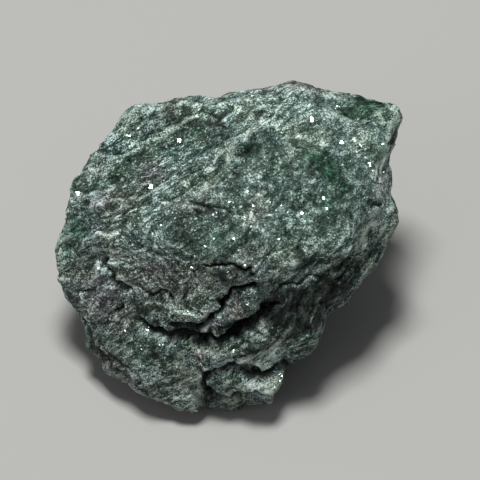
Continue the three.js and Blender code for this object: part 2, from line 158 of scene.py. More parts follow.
def unevenness(points, length, seed):
    """Sum of sines of (way . point + start), scaled so that its usual size is one."""
    i = np.arange(WAVES)
    height = 1 - 2 * (i + 0.5) / WAVES
    turn = GOLDEN_TURN * i + seed
    ring = np.sqrt(1 - height**2)
    rate = 2 * np.pi / length * (0.7 + 0.6 * ((0.618 * i + 0.37 * seed) % 1))
    way = np.stack([ring * np.cos(turn), ring * np.sin(turn), height]) * rate
    return np.sin(points @ way + 1.7 * seed * i + i * i).sum(1) / np.sqrt(WAVES / 2)


def ease(x):
    """Rises from 0 to 1 with level ends: 3 t^2 - 2 t^3."""
    t = np.clip(x, 0, 1)
    return t * t * (3 - 2 * t)


# %% [markdown]
# Folded sheets
# Mica schist splits along its sheets. Here they are folded like an upturned boat with its keel
# running up to the right, so the depth in the pile of sheets is the distance from an axis behind the
# middle, bent less along the keel. Where the surface crosses the sheets they break off in steps: a
# slow climb and a short drop in each period. On the slab the surface follows the sheets and is calm.

# %% Sheets and steps
KEEL = (0.86, 0.51)
KEEL_STRETCH = 0.35
FOLD_CENTRE_DEPTH = 10
FOLD_LENGTHWISE = 0.5


def along_keel(points):
    """Points turned so that x runs along the keel, y across it, z towards the eye."""
    c, s = KEEL
    x, y, z = points.T
    return np.stack([c * x + s * y, -s * x + c * y, z], 1)


def sheet_depth(points):
    """Distance from the fold's axis, with a wander that is drawn out along the keel."""
    k = along_keel(points)
    drawn_out = k * np.array([KEEL_STRETCH, 1, 1])
    shell = np.sqrt((k[:, 2] + FOLD_CENTRE_DEPTH) ** 2 + k[:, 1] ** 2 + (FOLD_LENGTHWISE * k[:, 0]) ** 2)
    return shell + 0.8 * unevenness(drawn_out, 12, 3.1) + 0.3 * unevenness(drawn_out, 4.6, 5.2)


def steps(depth, period, rise):
    """A sawtooth from -0.5 to 0.5 whose drop takes the share `rise` of the period."""
    part = (depth / period) % 1
    return np.where(part < 1 - rise, part / (1 - rise), (1 - part) / rise) - 0.5


def calm(points):
    """0.15 in the middle of the slab, 1 away from it: grows with the square of the distance."""
    x, y, _ = points.T
    return 0.15 + 0.85 * np.minimum(((x - 9) / 17) ** 2 + ((y - 8) / 13) ** 2, 1)


# %% [markdown]
# Cracks, ledges and ribs
# The cracks and ledges are what one remembers of this stone, so each is drawn one by one: a line over
# the stone, a depth, and how fast the depth fades to the left and to the right of it. Both sides
# narrow make a crack, one side wide makes a ledge, and a negative depth raises a rib. A line is kept
# as a graph over the chord between its ends, so its distance is found for all points at once.

# %% Lines and hollows
LINES = {  # path, depth, width to the left, width to the right, fade over the ends
    "upper crack": ([(-10, -12.3), (-7, -13), (-3.6, -13.2), (-2.6, -11.7), (-1.2, -9.7), (0.6, -7.7),
        (2, -6.5), (5.3, -5.5)], 2.9, 0.4, 0.6, 1.5),
    "lower crack": ([(-14.8, -11.8), (-12, -12.9), (-9.5, -14.2), (-7, -15.1), (-4, -15.7), (-1, -15.3),
        (1.5, -13.8), (3.5, -12.6), (5.5, -11.2), (7, -10), (8.5, -9.2)], 3.3, 0.5, 1, 2),
    "left crack": ([(-21.2, -0.5), (-21, -3.2), (-19.8, -5), (-18.2, -6.6), (-17, -7.2)], 2.4, 0.35,
        0.45, 1.6),
    "second crack": ([(-14.5, -7), (-11.5, -7.5), (-10, -8.1), (-8.5, -8.8)], 1.7, 0.3, 0.45, 1),
    "short crack": ([(-26.3, -6.8), (-24.8, -7), (-23.3, -7)], 1.3, 0.3, 0.4, 0.8),
    "side notch": ([(-19.8, -9.7), (-18.7, -10.2), (-17.6, -10.9)], 1.7, 0.3, 0.45, 0.7),
    "middle crack": ([(-4.3, -3), (-2, -2.7), (0, -2.9), (1.6, -2.8), (3.5, -3.6), (5.5, -4.3)], 1.6,
        0.3, 0.45, 1.5),
    "top crack": ([(-6.5, 8.3), (-4.5, 7.8), (-3, 7.3), (-1, 7), (1.2, 6.3)], 1.4, 0.35, 0.6, 1.5),
    "rim crack": ([(23.5, 8), (24.5, 8), (26, 7.5)], 0.9, 0.3, 0.4, 0.8),
    "knob notch": ([(29.5, 21), (29, 19.5), (28, 18)], 1.4, 0.3, 0.5, 0.8),
    "foot ledge": ([(-4.2, -23.6), (-4.3, -22), (-2.9, -21.1), (0, -20.4), (3, -20.4), (6, -20.8),
        (8.2, -20.3), (10.2, -19.4)], 2.9, 0.45, 0.9, 1.2),
    "toe ledge": ([(-4, -24), (-2, -25), (1, -25.5), (4.5, -25), (7.5, -24.5)], 1.6, 0.5, 3, 1.5),
    "foot notch": ([(-3.5, -27.5), (-4, -25.5), (-4.5, -23.5), (-4, -21.5)], 1.5, 0.5, 0.5, 1.5),
    "slab edge": ([(25, 8.5), (24.5, 6), (23.5, 3), (20.5, -1), (18, -2), (13.5, -3), (10.5, -4.5),
        (7.5, -6.5)], 1.8, 6, 1.5, 4),
    "flank groove": ([(24.5, 5), (22.5, 1), (20, -2.5), (17, -4.5), (12, -6), (7.5, -8)], 0.9, 0.6, 0.5,
        3),
    "flank rib": ([(24.5, 6), (23, 0), (21, -2.5), (18.5, -5.5), (15.5, -8.5), (15, -10.5), (13, -14.5),
        (11.5, -16)], -0.8, 0.4, 0.35, 2),
    "outer flank groove": ([(26, 3), (24, -0.5), (21.5, -3.5), (18, -7), (16.5, -9.5)], 0.8, 0.6, 0.4,
        2),
    "inner flank rib": ([(16, -5.5), (12.5, -6.5), (10, -8), (8.5, -9), (7, -11.5)], -0.3, 0.5, 0.35,
        2),
    "upper rim": ([(-27, 6), (-24.5, 10), (-22.5, 13), (-20, 16), (-15, 18.5), (-9.5, 21), (-5, 23.5),
        (0, 25)], 0.9, 4, 0.5, 3),
    "rim rib": ([(-23, 12.5), (-20, 15.5), (-15, 18), (-10, 20.5), (-3, 24)], -0.8, 0.35, 0.9, 3),
    "rim groove": ([(-22, 16.5), (-19.5, 17.5), (-17, 19), (-12, 21), (-7, 24)], 0.8, 0.5, 0.3, 2),
    "lower step": ([(-26.5, -1), (-24, 1.5), (-21, 4), (-19, 6), (-15, 7.5), (-9.5, 9), (-1, 12.5)],
        0.9, 2.5, 0.4, 3),
    "upper step": ([(-26.5, 5), (-22.5, 7), (-18.5, 9.5), (-13.5, 12), (-9, 14.5), (-0.5, 18.5)], 0.7,
        2, 0.4, 3),
    "crown ridge": ([(-4.5, 12.2), (-2.5, 13.5), (-0.5, 15), (1.8, 16.5), (3.6, 18), (5.2, 19.6),
        (7.5, 21)], 1.3, 0.4, 5, 2.5),
    "crown rib": ([(-5, 12.8), (-3, 14), (-1, 15.6), (1.2, 17.2), (3, 18.8), (4.6, 20.3), (7, 21.6)],
        -0.7, 0.8, 0.35, 2),
    "crown valley": ([(-8, 15.5), (-4, 17.5), (-1, 20.5), (3, 22.5)], 0.9, 1.2, 1.2, 3),
    "crown step": ([(7, 20.5), (10, 19.5), (13, 18.5), (15, 17.5), (17.5, 17)], 0.8, 0.3, 3, 2),
    "left foot": ([(-27.5, -8), (-26, -10.5), (-24, -14.5), (-22.5, -17.5), (-18, -21.3), (-13, -25.5),
        (-8.5, -27.5)], 1.4, 0.35, 3, 2.5),
    "left foot groove": ([(-22.3, -15), (-19.5, -18.5), (-17, -20.3), (-13.5, -23.5)], 0.8, 0.3, 0.4,
        2),
    "knob fold": ([(17.5, 25), (20.5, 23.5), (25, 21.5), (28, 20)], 0.6, 0.6, 1.5, 2),
}
LINE_LEAD = 0.3  # share of the fade by which a line starts before its first point
HOLLOWS = [  # middle, depth, half length, half width, turn
    ((2.3, -13.6), 2.2, 2.6, 1, 30),
    ((-4, -15.7), 1.1, 3, 0.8, 0),
    ((12, -8.5), 0.7, 5, 3, 40),
    ((5.8, -13.8), -1.7, 2.2, 1.1, 55),
    ((5, -22.3), -1.8, 4.5, 1.7, 5),
    ((-1.5, 22), 0.8, 1.4, 0.8, 20),
    ((12, 7), 0.5, 2.5, 1, -25),
    ((-2, -17.5), -0.6, 2.5, 1.5, 0),
    ((12, 0.5), 0.7, 1.2, 0.6, 25),
    ((28.5, 22), -0.9, 3, 2.2, 70),
]


# %% Depth of the lines and hollows
def line_places(x, y, path):
    """How far along a line's chord each place is, how far left of the line, and the chord's length."""
    path = np.array(path, float)
    chord = path[-1] - path[0]
    length = np.hypot(*chord)
    c, s = chord / length
    right, up = x - path[0, 0], y - path[0, 1]
    along, across = right * c + up * s, up * c - right * s
    step = path - path[0]
    graph = np.stack([step[:, 0] * c + step[:, 1] * s, step[:, 1] * c - step[:, 0] * s])
    slope = np.interp(along, (graph[0, 1:] + graph[0, :-1]) / 2, np.diff(graph[1]) / np.diff(graph[0]))
    off = (across - np.interp(along, *graph)) / np.sqrt(1 + slope**2)
    return along, off, length


def line_depth(x, y, path, depth, left, right, fade):
    """depth * exp(-distance / width), eased out over both ends of the line."""
    along, off, length = line_places(x, y, path)
    lead = LINE_LEAD * fade
    ends = ease((along + lead) / fade) * ease((length + lead - along) / fade)
    return depth * np.exp(-np.abs(off) / np.where(off > 0, left, right)) * ends


def hollow_depth(x, y, at, depth, long, wide, turn):
    """A bell: depth * exp(-(lengthwise / long)^2 - (sideways / wide)^2)."""
    c, s = np.cos(np.radians(turn)), np.sin(np.radians(turn))
    lengthwise, sideways = (x - at[0]) * c + (y - at[1]) * s, (y - at[1]) * c - (x - at[0]) * s
    return depth * np.exp(-((lengthwise / long) ** 2) - (sideways / wide) ** 2)


def wandered(points, wobble):
    """Places that wander by a quarter of a millimetre, and by the wobble over short distances."""
    x = points[:, 0] + 0.25 * unevenness(points, 3.1, 7.7) + wobble * unevenness(points, 1.3, 8.3)
    y = points[:, 1] + 0.25 * unevenness(points, 3.3, 9.1) + wobble * unevenness(points, 1.2, 6.3)
    return x, y


def seen_side(points, behind, over):
    """0 from `behind` mm behind the rim on, rising to 1 over some millimetres towards the eye."""
    return ease((points[:, 2] + behind) / over)


def drawn_depth(points, wobble):
    """All lines and hollows together, fading out behind the rim."""
    x, y = wandered(points, wobble)
    depth = sum(line_depth(x, y, *line) for line in LINES.values())
    depth += sum(hollow_depth(x, y, *hollow) for hollow in HOLLOWS)
    return depth * seen_side(points, 3, 4)


print("drawn lines:", ", ".join(LINES))

# %% [markdown]
# Fine relief
# The plain solid stops at forms of two or three millimetres. What makes schist look like schist is
# smaller: thin sheets of half a millimetre, and loose packets of mica that lie a little askew. A
# packet is one cell of a jittered lattice, and inside it the surface is a small tilted plane. The
# lattice is drawn out along the keel, so the packets are long scales, as they are on the stone.


# %% Scales of mica
def lattice_random(cell, seed):
    """Four repeatable numbers from 0 to 1 for each lattice cell: the fraction of a large sine."""
    mix = cell @ np.array([127.1, 311.7, 74.7]) + seed
    return (np.sin(mix[:, None] * np.array([1.0, 1.37, 0.71, 1.93])) * 43758.5453) % 1


def scales(points, size, seed):
    """Height of the nearest cell's tilted plane: tilt . (point - cell's middle)."""
    spot = points / size
    home = np.floor(spot)
    nearest = np.full(len(points), np.inf)
    height = np.zeros(len(points))
    for shift in np.ndindex(3, 3, 3):
        cell = home + np.array(shift) - 1
        chance = lattice_random(cell, seed)
        away = spot - (cell + chance[:, :3])
        far = (away**2).sum(1)
        tilt = lattice_random(cell, seed + 5.7)[:, :3] - 0.5
        closer = far < nearest
        nearest = np.where(closer, far, nearest)
        height = np.where(closer, (away * tilt).sum(1), height)
    return height * size


SCALE_LAYERS = [  # height, squeeze along the keel, size in mm, seed
    (0.13, 0.35, 4.2, 6.0),
    (0.14, 0.40, 1.9, 2.0),
    (0.10, 0.45, 0.95, 9.0),
]
FLANK = ((17, -5), 1.8, 12, 4.5, 52)  # a bell over the dark flank, whose sheets run along its rib


def on_flank(points):
    """1 on the dark flank, 0 away from it."""
    bell = hollow_depth(points[:, 0], points[:, 1], *FLANK)
    return np.clip(bell, 0, 1) * seen_side(points, 4, 6)


def flank_run(points):
    """Distance along the flank's rib, drawn out eight times, and distance from it."""
    along, off, _ = line_places(points[:, 0], points[:, 1], LINES["flank rib"][0])
    return np.stack([along / 8, off, 0 * off], 1)


def fine_relief(points, sheets):
    """Thin sheets, scales of three sizes, and fine ridges along the flank, in millimetres."""
    keel = along_keel(points)
    drawn_out = keel * np.array([0.3, 1, 1])
    quiet = calm(points)
    flank = on_flank(points)
    loose = 1 - 0.75 * flank
    relief = 0.12 * quiet * steps(sheets + 0.15 * unevenness(drawn_out, 2.5, 4.4), 1.3, 0.2)
    thin = steps(sheets + 0.08 * unevenness(drawn_out, 1.2, 4.9), 0.6, 0.25)
    relief += 0.06 * (0.4 + 0.6 * quiet) * thin
    for height, squeeze, size, seed in SCALE_LAYERS:
        relief += height * loose * scales(keel * np.array([squeeze, 1, 1]), size, seed)
    relief += 0.14 * flank * unevenness(flank_run(points), 1.5, 12.3)
    relief += 0.05 * unevenness(points, 2.6, 10.1) + 0.02 * unevenness(points, 1.1, 11.4)
    return relief


# %% Reach of the stone
def stone_reach(rays):
    """Block + lumps + steps + fine relief - drawn depth, cut off level where it would go underground."""
    block = block_reach(rays)
    points = rays * block[:, None]
    sheets = sheet_depth(points)
    rear = 1 - seen_side(points, 6, 8)
    reach = block + 0.35 * unevenness(points, 17, 1.3) + 0.3 * unevenness(points, 8, 2.3)
    reach += 0.6 * calm(points) * steps(sheets, 3.6, 0.15)
    reach += 0.9 * rear * steps(sheets + 2 * unevenness(points, 20, 6.6), 8.3, 0.12)
    reach += fine_relief(points, sheets)
    reach -= drawn_depth(points, wobble=0.08)
    drop = -upright(rays)[:, 2]
    return np.where(drop > 0.05, np.minimum(reach, REST_DEPTH / np.maximum(drop, 0.05)), reach)


# %% [markdown]
# The stone's mesh
# A round grid with poles would crowd its points there. Six square grids on the sides of a cube, blown
# up to a ball at equal angles, stay even all over. Points shared by two sides are merged, so the
# mesh is closed. All rays are then leaned a little towards the eye, which makes the mesh finer on
# the side with the cracks, and every point slides along its own ray to the reach of the stone.

# %% A ball of six grids
CELLS = 127
TOWARDS_EYE = 0.4  # how much of the eye's direction is added to each unit ray


def unit(vectors):
    """Vectors scaled to length one."""
    return vectors / np.linalg.norm(vectors, axis=-1, keepdims=True)


def ball_of_six_grids(cells):
    """Unit rays and four-sided faces: on each side of the cube, tan of equal angles both ways."""
    step = np.tan(np.linspace(-np.pi / 4, np.pi / 4, cells + 1))
    a, b = np.meshgrid(step, step, indexing="ij")
    index = np.arange((cells + 1) ** 2).reshape(cells + 1, cells + 1)
    square = np.stack([index[:-1, :-1], index[1:, :-1], index[1:, 1:], index[:-1, 1:]], -1).reshape(-1, 4)
    rays, faces = [], []
    for side in range(6):
        axis, way = side % 3, 1 if side < 3 else -1
        grid = np.empty(a.shape + (3,))
        grid[..., axis], grid[..., (axis + 1) % 3], grid[..., (axis + 2) % 3] = way, a * way, b
        rays.append(grid.reshape(-1, 3))
        faces.append(square + side * index.size)
    rays, faces = np.concatenate(rays), np.concatenate(faces)
    keys = np.round(rays * 1e6).astype(np.int64)
    _, first, same = np.unique(keys, axis=0, return_index=True, return_inverse=True)
    rays = unit(unit(rays[first]) + np.array([0, 0, TOWARDS_EYE]))
    return rays, same.reshape(-1)[faces]


def mesh_object(name, points, faces):
    """A mesh object at the origin, from points in metres and lists of corners."""
    mesh = bpy.data.meshes.new(name)
    mesh.from_pydata(points, [], faces)
    mesh.validate()
    thing = bpy.data.objects.new(name, mesh)
    bpy.context.scene.collection.objects.link(thing)
    return thing


# %% The stone
rays, squares = ball_of_six_grids(CELLS)
surface = rays * stone_reach(rays)[:, None]
stone = mesh_object("schist_stone", to_row(surface), squares)
stone.data.polygons.foreach_set("use_smooth", np.ones(len(squares), bool))
print("stone:", len(squares) * 2, "triangles")

# %% [markdown]
# Where each colour and the painted shade lie
# The rock isn't one green. The slab and the left corner hold deep green mica, the left face is grey
# mauve, broken ledges are pale sage, and some places are brownish. The shade zone is painted shade,
# darker where the stone lies in shade from the lamp, and the pale zone is partly pale sage and
# partly painted light that lifts places lying in shadow. Each zone is a soft bell with a frayed
# edge, kept as a number on every point of the mesh, so that the material can mix by it. Thin pale
# lines along some ridges and ledges are drawn the way the cracks are; they are partly pale sheet
# edges and partly painted highlight along ridges that face the lamp.

# %% Colour zones
ZONES = {  # per zone of colour or painted light: right, up, half length, half width, turn, strength
    "deep_green": [
        (23, 24.2, 3.4, 1.5, 0, 1.7), (-13, 22, 4, 1.5, 20, 0.35), (27.5, 21.5, 1.8, 2.5, 0, 0.35),
        (16.1, 14.4, 2.7, 1.9, -25, 1.9), (18.6, 10.8, 1.8, 0.9, -42, 0.9), (1, 12.5, 3, 1.8, 30, 0.6),
        (3.5, 17, 1.8, 0.8, 20, 0.9), (7.5, 18.5, 1.2, 0.7, 10, 0.9), (-25.5, 3.5, 2.5, 2, 30, 1),
        (-27, 0, 2, 2, 0, 0.7), (12, 8, 2.5, 1.2, -20, 0.8), (10, 2, 6, 2.5, 20, 0.5),
        (-7.5, 2, 2.5, 2.5, 0, 0.3), (17, 7.5, 2, 3, 0, 0.8), (4, 16, 1, 1, 0, 0.5),
        (8.5, 12.7, 1.8, 0.9, 20, 0.7), (12.3, 12.8, 1.5, 0.8, 0, 0.8), (13, 16, 4, 1.6, 10, 0.3),
        (24.5, 10.5, 1.5, 1.5, 0, 0.6), (25.3, 17, 1.8, 2.5, 0, 0.8), (-14, -17, 2.5, 4, 30, 0.5),
        (-1, 1, 6, 2.5, 10, 0.6), (-17, 14.5, 6.5, 0.9, 36, 0.9), (-10, 17, 3, 1, 10, 0.8),
        (-5, 20, 2, 1.5, 40, 0.8), (20, 6, 3, 2, 40, 0.3),
    ],
    "mauve": [
        (-21.5, -9, 7, 4, -40, 0.8), (-18, -21, 8, 1.5, -42, 0.7), (-12, -3, 4, 2.5, 0, 0.5),
        (5, 0, 7, 2, 10, 0.3), (-6, 8, 5, 2, 20, 0.4), (4.5, 6.5, 1.8, 2.8, 0, 0.5),
        (12.5, 28, 6, 1.3, 0, 0.4), (-4.5, -18, 1.2, 1.2, 0, 0.9), (-17, 8.5, 2.4, 1.5, 10, 0.3),
        (-13, 13, 2.6, 2, 30, 0.7), (-22, 8, 2.4, 1.2, 20, 0.7), (26, 10.5, 2.4, 1.4, 10, 0.8),
        (-2.2, -12.2, 1.6, 1.2, 30, 0.8), (1.5, -10, 2.5, 1, 25, 0.6), (-10, -6, 9, 5, 0, 0.3),
        (-22, 3, 4, 5, 0, 0.3), (-8, -22, 5, 4, 0, 0.3), (3, -5, 7, 5, 0, 0.25),
    ],
    "brown": [
        (-18, 8.8, 2.4, 1.2, 5, 0.7), (-7, -6, 3.5, 2.5, 0, 0.5), (-10, 23.7, 1.8, 0.8, 10, 1),
        (12.5, 28, 5, 1.2, 0, 0.5), (8.5, -16, 1.2, 1.2, 0, 0.8), (4, -18, 1.5, 1, 0, 0.8),
        (11.5, -5.2, 3, 0.5, 5, 0.5), (2, -11, 1.4, 0.5, 15, 0.7),
    ],
    # partly pale sage, partly painted light that lifts places lying in shadow
    "pale_and_painted_light": [
        (-6.5, -10.7, 2.4, 1, -15, 1), (-13.7, -16, 4.5, 2.5, -50, 0.5), (6, -22.5, 4.5, 1.6, 8, 0.6),
        (2, -24, 5, 1.5, 0, 0.7), (-20, -1.2, 7.5, 1.3, 0, 1.1), (-11, -0.8, 3, 1, -20, 0.5),
        (26.3, 15.5, 1, 4, 0, 2), (-3, 12.3, 1.5, 1, 30, 1.1), (-10.5, 9.8, 4, 1, 15, 0.7),
        (-6, 24.2, 4.5, 0.8, 8, 0.9), (13, 10.2, 4, 0.7, 5, 0.6), (-16, 18.5, 3.5, 1.1, 42, 1.1),
        (5.8, 12.3, 1, 1.6, 0, 0.7), (16, 10, 1.2, 1.5, 0, 0.5), (18.5, 22.7, 2.5, 0.8, -20, 0.7),
        (18, -0.2, 2.5, 1, 0, 0.4), (7, 25, 1.2, 2.5, 0, 0.8), (6, 19.8, 1.5, 1.5, 0, 1),
        (22.6, 2.8, 2.5, 1.2, 55, 1.6), (8, 1, 4, 2.5, -30, 0.6), (12, -3.6, 6, 1, 10, 0.5),
        (-0.2, -6.8, 2, 0.9, 10, 1.3), (-3.4, -11.7, 1.2, 1.2, 0, 1.4), (-16.3, -5.5, 2, 0.9, -20, 0.9),
        (-11, -6.4, 2.5, 0.7, -10, 0.9), (-17, 3.5, 1.5, 1.5, 0, 0.9), (-11, 1.2, 4, 0.9, -30, 0.6),
        (-2, 2.5, 1.5, 1.5, 0, 0.4), (-15.5, -17, 1, 4, 15, 0.7), (-14, -25.3, 8, 1.3, -28, 1.4),
        (0, -25.2, 5, 1.6, 0, 1.2), (1, -19.5, 4, 0.9, 0, 1.8), (7, -17.7, 2.5, 1, 10, 1.8),
        (10.5, -13.8, 1.2, 1.2, 0, 1.2), (24.5, 4.5, 2.5, 1.3, 50, 0.6), (10.5, -3.6, 4.5, 1.2, 10, 0.6),
        (-17, -23.5, 7, 1, -38, 0.6), (-25.5, -13, 2.5, 0.8, 115, 1.4), (8, -15.5, 3, 1.5, 60, 0.5),
        (9, -21.4, 1.2, 1.1, 0, 1.2), (0, -22, 2.4, 1.6, 0, 0.3), (-5, -20.5, 2.5, 2, -30, 0.5),
        (4.5, 6.5, 1.6, 2.4, 0, 0.5), (26, 10.5, 2, 1.2, 10, 0.6), (27.5, 21.5, 2, 2.2, 0, 0.8),
        (-2.5, 9.5, 2.2, 1.6, 30, 0.8), (0.5, 14.7, 1.3, 1.3, 0, 2), (16.5, 7.5, 2, 1.4, 20, 0.7),
        (14.2, 1.4, 2, 0.5, 10, 0.7), (-22, 8, 2.4, 1.2, 20, 0.7), (-24.5, 1.5, 2.5, 0.8, 40, 0.5),
        (-24, -7.5, 1.2, 1.5, 0, 0.5), (-5, -23, 1.2, 1, 0, 0.6), (8, 25, 4, 1.2, -10, 0.6),
        (5.5, 0, 3, 1.5, 20, 0.4), (19, 21, 3, 2, 0, 0.5), (27, 6, 1.2, 3, 0, 0.5),
        (5.3, -13.2, 2.2, 1.2, 50, 0.9), (-8, -24, 3, 1.5, -35, 1.1), (-2.3, -17.5, 1.4, 1, -30, 0.7),
        (25.6, 13.5, 0.9, 1, 0, 2), (27.2, 18, 0.8, 1.2, 0, 1.5), (13.6, 16, 1.3, 1.1, 20, 1),
        (18.5, 16.5, 0.8, 1.8, -15, 0.6), (-8, 24, 1, 1, 0, 1), (-14, 20.5, 2.5, 0.7, 30, 0.6),
        (-3.1, -12.4, 0.8, 1.4, 0, 1.6), (16.5, 10, 1, 2, 0, 0.5), (22, 3, 1, 2, -30, 0.6),
        (12.3, -10.5, 0.8, 2.5, -20, 1.2), (5, -19.5, 3, 0.8, 0, 0.8), (-17, 3.8, 0.8, 1, 0, 0.8),
        (-16, 10, 1.5, 0.8, 20, 0.6),
    ],
    # painted shade: darkens the places that lie in shade from the lamp, such as the flank, under ledges
    # and faces turned away
    "painted_shade": [
        (14, -8.5, 5.5, 3, 50, 1.3), (-9, 21.6, 3.5, 1, 12, 0.9), (0.5, 18, 1.6, 0.9, 20, 0.9),
        (3, 15, 1, 2, 20, 0.4), (3.7, 22.5, 1.6, 1, 0, 0.8), (8.8, 20.5, 0.8, 1.2, 0, 0.5),
        (11.5, -0.9, 1.6, 1.1, 0, 1), (-12, -1.5, 1.6, 0.9, -30, 0.6), (-16, -10.8, 3, 0.9, 10, 0.6),
        (-22.3, -13.5, 0.9, 2, 10, 0.6), (24.2, 1.5, 0.8, 1.5, 0, 0.5), (1.5, -4, 3.5, 1, -10, 0.8),
        (-12.5, -9.5, 3.5, 1.2, -10, 0.8), (-10.3, -12.9, 1.2, 0.8, -30, 0.7),
        (-12, -16.7, 1.2, 1.2, 0, 0.7), (-18.5, -17, 2.5, 1.5, -20, 0.4), (14.3, -12, 1.3, 1.8, 0, 1.1),
        (16, -6.8, 2.5, 0.9, 30, 0.8), (8.5, -10.5, 3.2, 1.3, 55, 1.2), (8.7, 7.3, 1.5, 1.2, 0, 0.4),
        (3, -16.6, 3, 0.9, 0, 0.9), (-3, -16.5, 2, 0.8, 0, 0.6), (-5.6, -20.5, 1.2, 1, 0, 0.8),
        (25.2, 7.2, 1, 1.1, 0, 0.9), (25.3, 3.5, 0.8, 1.2, 0, 0.4), (23, 17.5, 1.5, 2, 0, 0.3),
        (-11.5, 22, 5, 1.2, 15, 0.3), (-5.5, 21.6, 1.8, 1.1, 0, 0.8), (5.8, 16.3, 1.4, 0.9, 20, 0.6),
        (11, 7.3, 2, 0.9, 0, 0.5), (-4.2, -15.8, 1.5, 0.7, 0, 0.8), (-1, 20, 2.5, 1.2, 30, 0.5),
        (-20.3, 14.5, 1.6, 1, 50, 0.8), (13, 15.5, 4, 1.5, -5, 0.35), (1.5, 12, 2.5, 1, 10, 0.4),
        (23, 11.3, 1.2, 1, 0, 0.5), (1.5, 13.3, 2, 1.2, 0, 0.6), (-1, -22.7, 1.2, 0.8, 0, 0.7),
        (-3, 0.5, 3, 1.5, 0, 0.3), (-3.3, 6.5, 3.2, 0.7, -14, 0.9), (-18.3, 7, 2, 1, 10, 0.9),
        (-22, 10, 2, 0.8, 40, 0.5), (16, 6, 3, 1, -20, 0.3), (0, -4, 5, 1.2, -5, 0.45),
        (17, -7, 4, 2, 45, 0.8), (13.5, -12, 2.5, 2, 60, 0.6), (8, -7.5, 2.5, 1, 35, 0.5),
        (-14, -9.5, 4, 1.2, 5, 0.45), (-12, -12.5, 2, 1, -40, 0.4), (-12.5, -16, 1.5, 2, 0, 0.4),
        (-20, -15.5, 3, 1.2, -50, 0.4), (20, -3.5, 4, 1.6, 45, 0.8), (-8, 2, 1.5, 2.5, -10, 0.6),
        (2.5, -12.8, 2.2, 0.9, 25, 1), (9, -9, 3, 2, 40, 0.8), (4, -17.5, 5, 2, 5, 0.2),
        (10, -14, 4, 2, 60, 0.3), (-5, 7, 1.3, 0.7, 10, 0.8), (-26.5, -8.5, 3.5, 0.6, 118, 0.5),
        (-20, -19.2, 4.5, 1.6, -45, 0.6), (-13.5, -24.8, 3, 0.9, -40, 0.3),
        (-1.6, 21.5, 1.1, 0.7, 30, 1.3), (12, 0.8, 0.8, 0.5, 20, 1), (0, -24.3, 3.5, 0.5, -3, 0.6),
        (6.5, -26, 1.6, 0.7, 5, 0.8), (-4.5, -25.5, 0.8, 2.2, 15, 1), (13, 28.2, 6, 1.1, 0, 0.8),
        (-10, 23.7, 2, 0.9, 10, 0.7), (20, 7, 3.5, 3, 0, 0.3), (-10, -4, 7, 3, 10, 0.25),
        (3, -7.5, 3, 2, 35, 0.2), (-20, -10, 6, 5, 0, 0.1), (7.5, -8, 2.5, 1.2, 45, 0.9),
        (0, -13.1, 1.2, 0.7, 20, 1), (-23, 14.8, 2.5, 1, 40, 0.8), (11, 12.5, 1.5, 0.8, 0, 0.6),
        (-7.5, 3, 1.2, 2, -15, 0.4), (0, 18.6, 1.2, 0.8, 20, 0.6), (15, 6.3, 1, 0.8, 0, 0.5),
        (-10.5, -8.5, 1, 0.7, 0, 0.6), (-18.4, 7.3, 1, 1, 0, 0.5), (4.4, -15.3, 1.3, 0.8, 30, 1.1),
        (-6, -26, 2, 0.7, -20, 0.7), (23, -0.5, 0.8, 2.2, -25, 0.8), (16.5, -7, 1.5, 1, 40, 0.8),
        (10, 12, 12, 8, 25, 0.06), (-0.2, 4.8, 0.9, 0.8, 0, 0.7), (-5.8, 5, 1.2, 1, 0, 0.6),
        (0, 11.5, 2, 0.8, 10, 0.5), (-19.5, 9.7, 1, 0.8, 0, 0.5), (11, -9.5, 0.8, 1.5, -20, 0.8),
        (8, -13, 1.2, 1.2, 0, 1.3), (12.5, -0.3, 1.2, 0.9, 0, 0.6), (-18, 7, 1.5, 0.9, 0, 0.3),
    ],
}
# pale lines: partly pale sheet edges, partly painted highlight along ridges that face the lamp
PALE_AND_LIT_EDGES = [  # path, strength, width to the left, width to the right, fade over the ends
    ([(-24, 12), (-20.5, 14), (-17, 16.3), (-15, 17.5), (-12.5, 19.1), (-10, 20.3), (-7.5, 21.6),
        (-3, 23.7)], 0.5, 0.3, 0.4, 2),
    ([(-21, 5.3), (-19.5, 6), (-18, 6.8), (-14, 6.5), (-8, 9), (-3, 11)], 0.8, 0.4, 0.5, 2),
    ([(-26.5, -0.5), (-25.7, 0.8), (-24.5, 1.7), (-22, 3.5)], 0.8, 0.25, 0.25, 1),
    ([(-4, 12.5), (-2, 14.5), (-0.5, 16), (1.4, 17.6), (3, 19.2), (4.5, 20.7), (7, 22)], 0.8, 0.7, 0.5,
        2),
    ([(7.8, 20.2), (10, 19.6), (12, 19), (14, 18.1), (17, 17.7)], 1.8, 0.3, 0.3, 1),
    ([(9, 27.7), (12, 27.3), (15, 26.5), (19, 25.8)], 0.9, 0.4, 0.4, 1),
    ([(8.8, -9.8), (9.5, -8.5), (10.5, -7.3)], 0.9, 0.15, 0.15, 0.5),
    ([(24.6, 6), (24.2, 2.8), (22.8, 0), (20.6, -3.5), (18.1, -6)], 1.3, 0.2, 0.2, 1.5),
    ([(17, -7), (15.5, -8.5), (14.9, -10.2), (13.9, -13), (12.3, -15.4), (10, -17)], 0.7, 0.17, 0.17,
        2),
    ([(1.5, -19.3), (5.5, -19.2)], 0.6, 0.3, 0.2, 0.8),
    ([(24.8, 8), (25.2, 5.5), (24.2, 3), (22.6, 1), (20.5, -0.8), (13, -3.2)], 0.5, 0.2, 0.5, 2),
    ([(-14.5, -8.5), (-12, -9), (-10, -9.6), (-7, -10.5), (-4, -11.3)], 0.7, 0.2, 0.2, 1),
    ([(-15, -19), (-13.5, -21), (-12.5, -22.5)], 0.8, 0.3, 0.3, 1),
]


def keep(thing, name, values):
    """One number per point, or three, under a name that a material can read."""
    kind, field = ("FLOAT", "value") if values.ndim == 1 else ("FLOAT_VECTOR", "vector")
    kept = thing.data.attributes.new(name, kind, "POINT").data
    kept.foreach_set(field, values.astype(np.float32).ravel())


